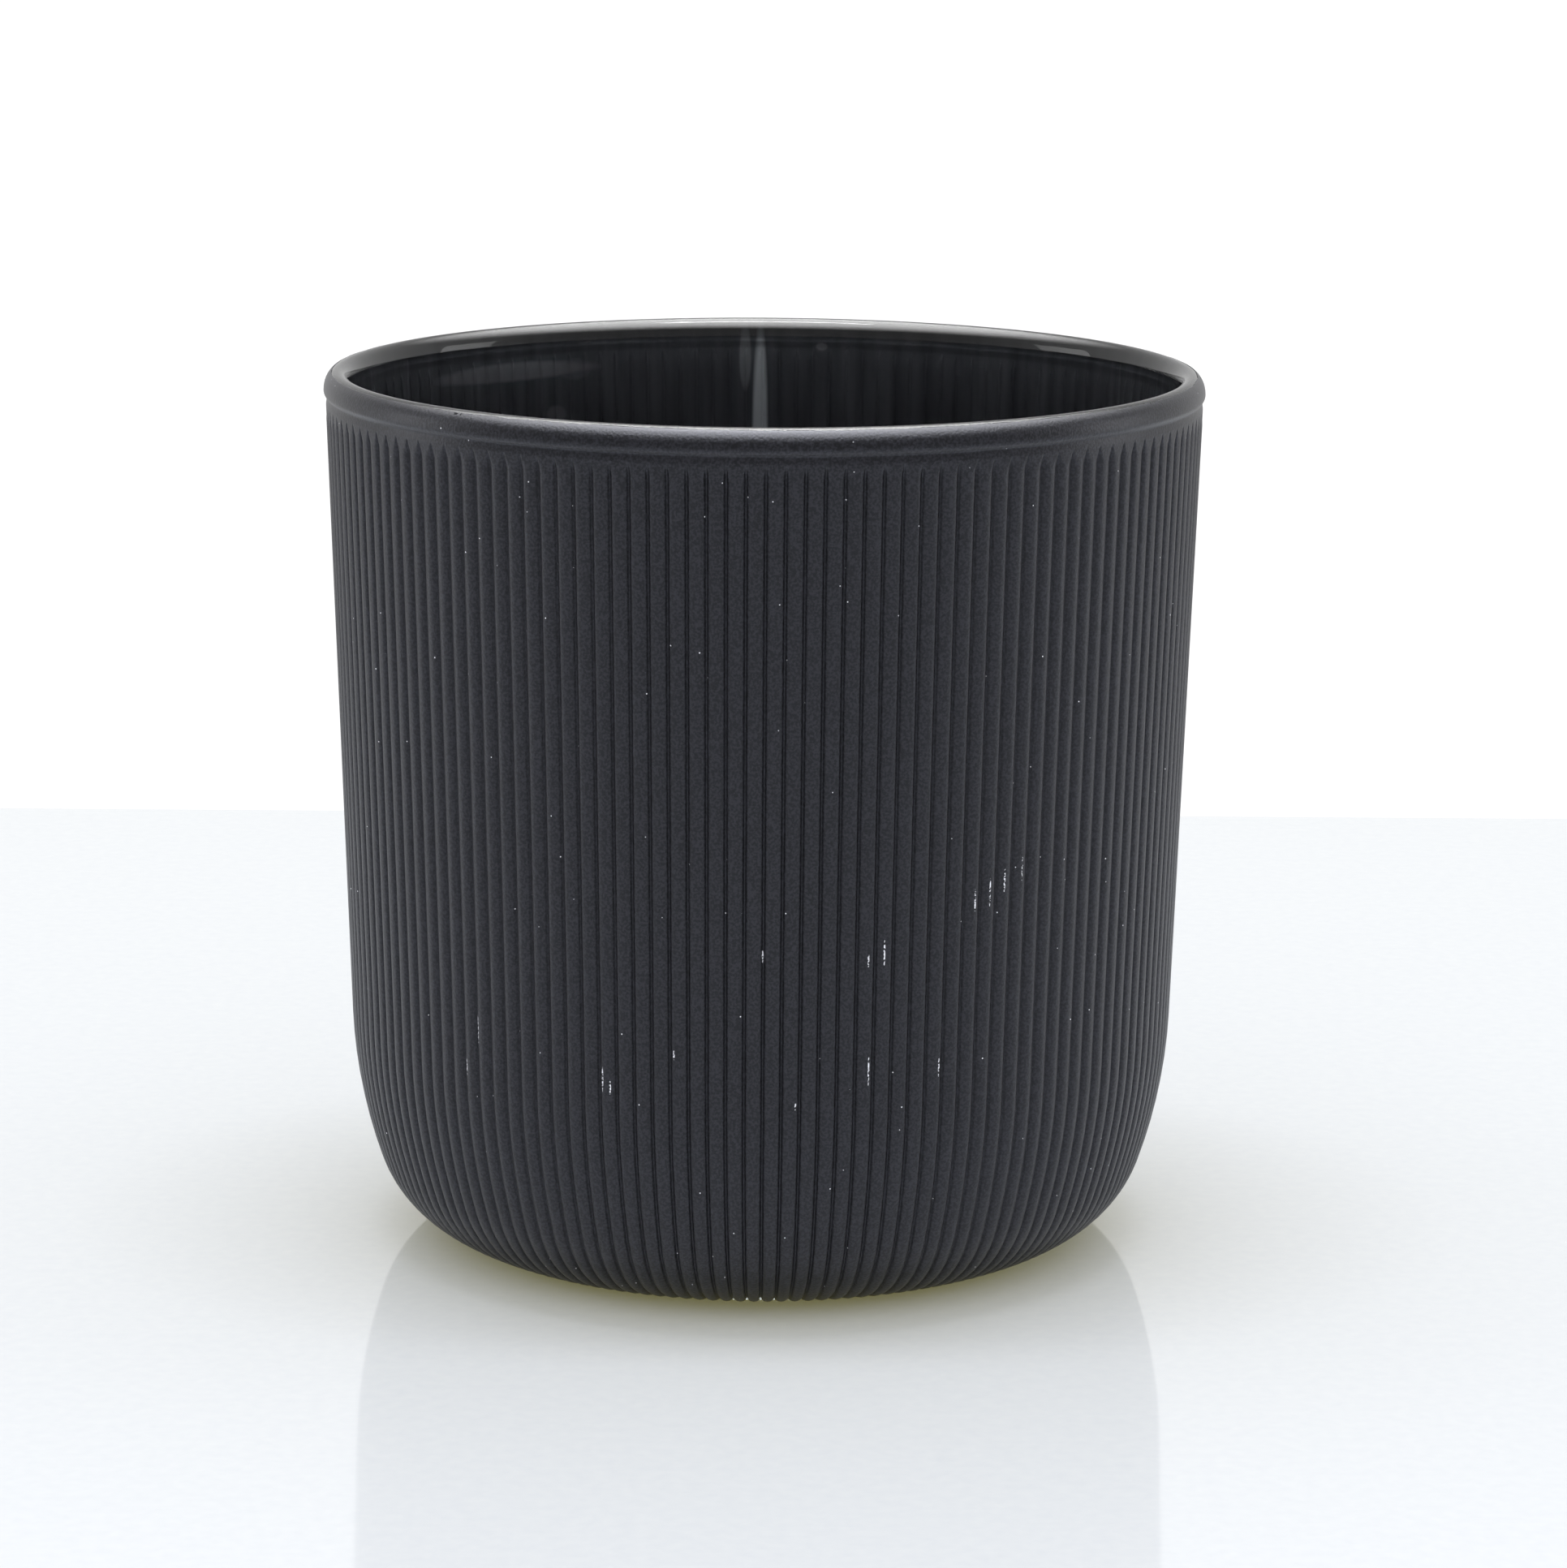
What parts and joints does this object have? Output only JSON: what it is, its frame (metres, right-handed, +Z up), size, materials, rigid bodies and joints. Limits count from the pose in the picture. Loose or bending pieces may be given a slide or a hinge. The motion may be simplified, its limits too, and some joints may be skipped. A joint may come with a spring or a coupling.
{
  "type": "candle jar",
  "caption": "Empty round candle jar: clear pressed glass with fine upright ribs outside, a smooth bore, a rounded lip and a black satin lacquer.",
  "frame": {"origin": "centre of the standing ring, on the plane that the jar stands on", "axes": "+Z up along the jar's axis, through the middle of the mouth; +X and +Y are any two directions across it"},
  "size_m": [0.09, 0.09, 0.09],
  "materials": {
    "clear_glass": "fire-polished, clear soda-lime glass",
    "black_lacquer": "sprayed satin black lacquer, slightly bluish"
  },
  "bodies": {
    "root": {"glass_vessel": "clear_glass", "outer_coating": "black_lacquer", "base_coating": "black_lacquer"}
  },
  "joints": []
}
